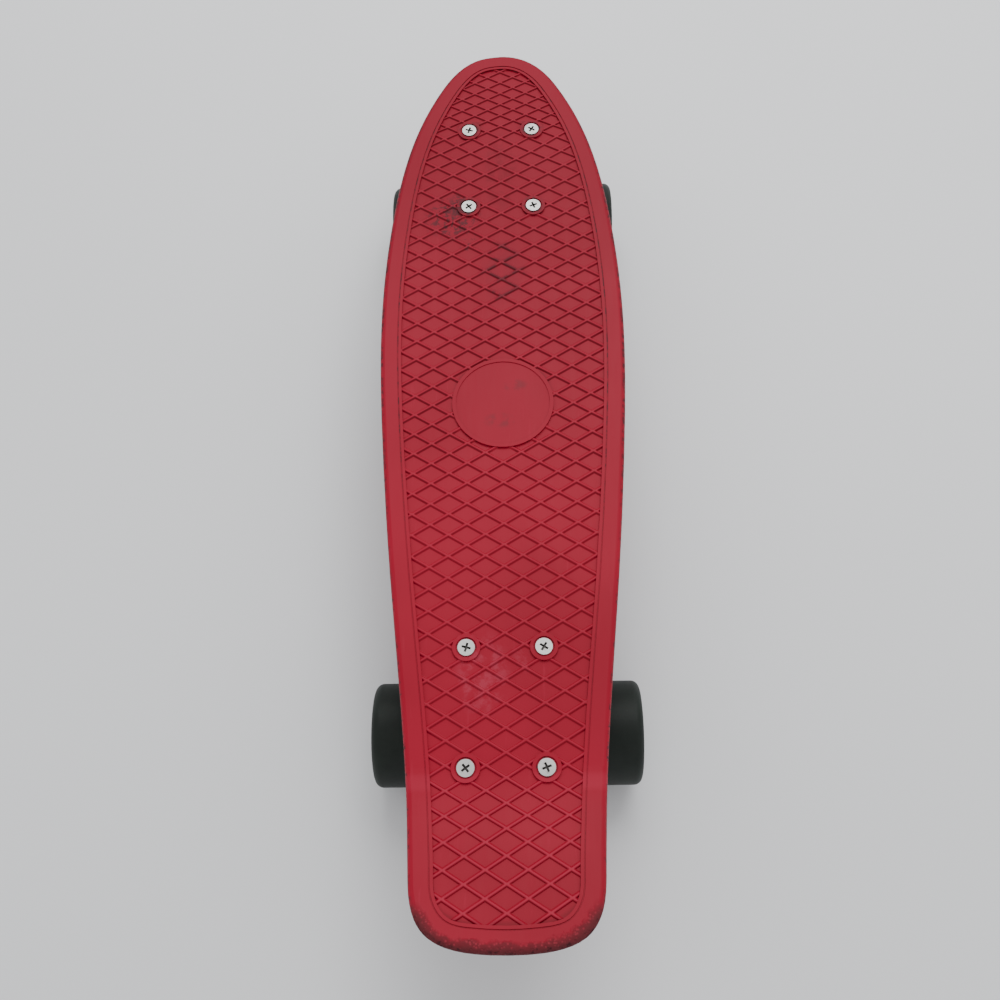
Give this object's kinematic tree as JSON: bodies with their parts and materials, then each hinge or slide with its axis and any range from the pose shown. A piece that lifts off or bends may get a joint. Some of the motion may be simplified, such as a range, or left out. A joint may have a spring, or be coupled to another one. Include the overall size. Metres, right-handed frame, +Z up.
{
  "type": "skateboard",
  "caption": "Small moulded-plastic cruiser skateboard with a kicked tail, a waffle-textured top, two steering trucks and four soft wheels on ball bearings.",
  "frame": {"origin": "on the floor under the middle of the board's box", "axes": "+Z up, +Y towards the nose, +X to the right seen from the tail"},
  "size_m": [0.1494, 0.5761, 0.1115],
  "materials": {
    "deck_plastic": "semi-matte moulded red plastic with scuffs",
    "screw_steel": "zinc-plated steel",
    "truck_metal": "cast and tumbled",
    "hardware_steel": "zinc-plated steel",
    "pivot_plastic": "moulded white plastic",
    "bushing_urethane": "black urethane",
    "bearing_steel": "ground bearing steel",
    "wheel_urethane": "matt very dark green urethane with road dust",
    "core_plastic": "moulded black plastic",
    "bearing_rubber": "black rubber shield",
    "cage_plastic": "ivory nylon"
  },
  "bodies": {
    "deck": {"deck": "deck_plastic", "front_deck_bolts": "screw_steel", "front_deck_nuts": "screw_steel", "front_baseplate": "truck_metal", "front_kingpin": "hardware_steel", "front_kingpin_nut": "hardware_steel", "front_pivot_cup": "pivot_plastic", "front_barrel_bushing": "bushing_urethane", "front_cone_bushing": "bushing_urethane", "front_upper_cup_washer": "hardware_steel", "front_lower_cup_washer": "hardware_steel", "rear_deck_bolts": "screw_steel", "rear_deck_nuts": "screw_steel", "rear_baseplate": "truck_metal", "rear_kingpin": "hardware_steel", "rear_kingpin_nut": "hardware_steel", "rear_pivot_cup": "pivot_plastic", "rear_barrel_bushing": "bushing_urethane", "rear_cone_bushing": "bushing_urethane", "rear_upper_cup_washer": "hardware_steel", "rear_lower_cup_washer": "hardware_steel"},
    "front_truck": {"front_hanger": "truck_metal", "front_axle": "hardware_steel", "front_axle_nuts": "hardware_steel", "front_speed_washers": "hardware_steel", "front_bearing_spacers": "bearing_steel", "front_bearing_inner_rings": "bearing_steel"},
    "rear_truck": {"rear_hanger": "truck_metal", "rear_axle": "hardware_steel", "rear_axle_nuts": "hardware_steel", "rear_speed_washers": "hardware_steel", "rear_bearing_spacers": "bearing_steel", "rear_bearing_inner_rings": "bearing_steel"},
    "front_left_wheel": {"front_left_tyre": "wheel_urethane", "front_left_core": "core_plastic", "front_left_bearing_outer_rings": "bearing_steel", "front_left_bearing_shields": "bearing_rubber"},
    "front_right_wheel": {"front_right_tyre": "wheel_urethane", "front_right_core": "core_plastic", "front_right_bearing_outer_rings": "bearing_steel", "front_right_bearing_shields": "bearing_rubber"},
    "rear_left_wheel": {"rear_left_tyre": "wheel_urethane", "rear_left_core": "core_plastic", "rear_left_bearing_outer_rings": "bearing_steel", "rear_left_bearing_shields": "bearing_rubber"},
    "rear_right_wheel": {"rear_right_tyre": "wheel_urethane", "rear_right_core": "core_plastic", "rear_right_bearing_outer_rings": "bearing_steel", "rear_right_bearing_shields": "bearing_rubber"},
    "front_left_balls": {"front_left_bearing_balls": "bearing_steel", "front_left_bearing_cages": "cage_plastic"},
    "front_right_balls": {"front_right_bearing_balls": "bearing_steel", "front_right_bearing_cages": "cage_plastic"},
    "rear_left_balls": {"rear_left_bearing_balls": "bearing_steel", "rear_left_bearing_cages": "cage_plastic"},
    "rear_right_balls": {"rear_right_bearing_balls": "bearing_steel", "rear_right_bearing_cages": "cage_plastic"}
  },
  "joints": [
    {"name": "front_steer", "type": "hinge", "parent": "deck", "child": "front_truck", "pos_m": [0, 0.1654, 0.031], "axis": [0, 0.8321, 0.5547], "range_deg": [-12, 12], "stiffness_Nm_per_rad": 25, "deforming": ["front_barrel_bushing", "front_cone_bushing"]},
    {"name": "rear_steer", "type": "hinge", "parent": "deck", "child": "rear_truck", "pos_m": [0, -0.1436, 0.031], "axis": [0, -0.8321, 0.5547], "range_deg": [-12, 12], "stiffness_Nm_per_rad": 25, "deforming": ["rear_barrel_bushing", "rear_cone_bushing"]},
    {"name": "front_left_spin", "type": "hinge", "parent": "front_truck", "child": "front_left_wheel", "pos_m": [-0.0527, 0.1894, 0.029], "axis": [1, 0, 0], "continuous": true},
    {"name": "front_right_spin", "type": "hinge", "parent": "front_truck", "child": "front_right_wheel", "pos_m": [0.0527, 0.1894, 0.029], "axis": [1, 0, 0], "continuous": true},
    {"name": "rear_left_spin", "type": "hinge", "parent": "rear_truck", "child": "rear_left_wheel", "pos_m": [-0.0527, -0.1676, 0.029], "axis": [1, 0, 0], "continuous": true},
    {"name": "rear_right_spin", "type": "hinge", "parent": "rear_truck", "child": "rear_right_wheel", "pos_m": [0.0527, -0.1676, 0.029], "axis": [1, 0, 0], "continuous": true},
    {"name": "front_left_cage_spin", "type": "hinge", "parent": "front_truck", "child": "front_left_balls", "pos_m": [-0.0527, 0.1894, 0.029], "axis": [1, 0, 0], "continuous": true},
    {"name": "front_right_cage_spin", "type": "hinge", "parent": "front_truck", "child": "front_right_balls", "pos_m": [0.0527, 0.1894, 0.029], "axis": [1, 0, 0], "continuous": true},
    {"name": "rear_left_cage_spin", "type": "hinge", "parent": "rear_truck", "child": "rear_left_balls", "pos_m": [-0.0527, -0.1676, 0.029], "axis": [1, 0, 0], "continuous": true},
    {"name": "rear_right_cage_spin", "type": "hinge", "parent": "rear_truck", "child": "rear_right_balls", "pos_m": [0.0527, -0.1676, 0.029], "axis": [1, 0, 0], "continuous": true}
  ],
  "couplings": [
    {"joint": "front_left_cage_spin", "follows": "front_left_spin", "ratio": 0.632},
    {"joint": "front_right_cage_spin", "follows": "front_right_spin", "ratio": 0.632},
    {"joint": "rear_left_cage_spin", "follows": "rear_left_spin", "ratio": 0.632},
    {"joint": "rear_right_cage_spin", "follows": "rear_right_spin", "ratio": 0.632}
  ]
}
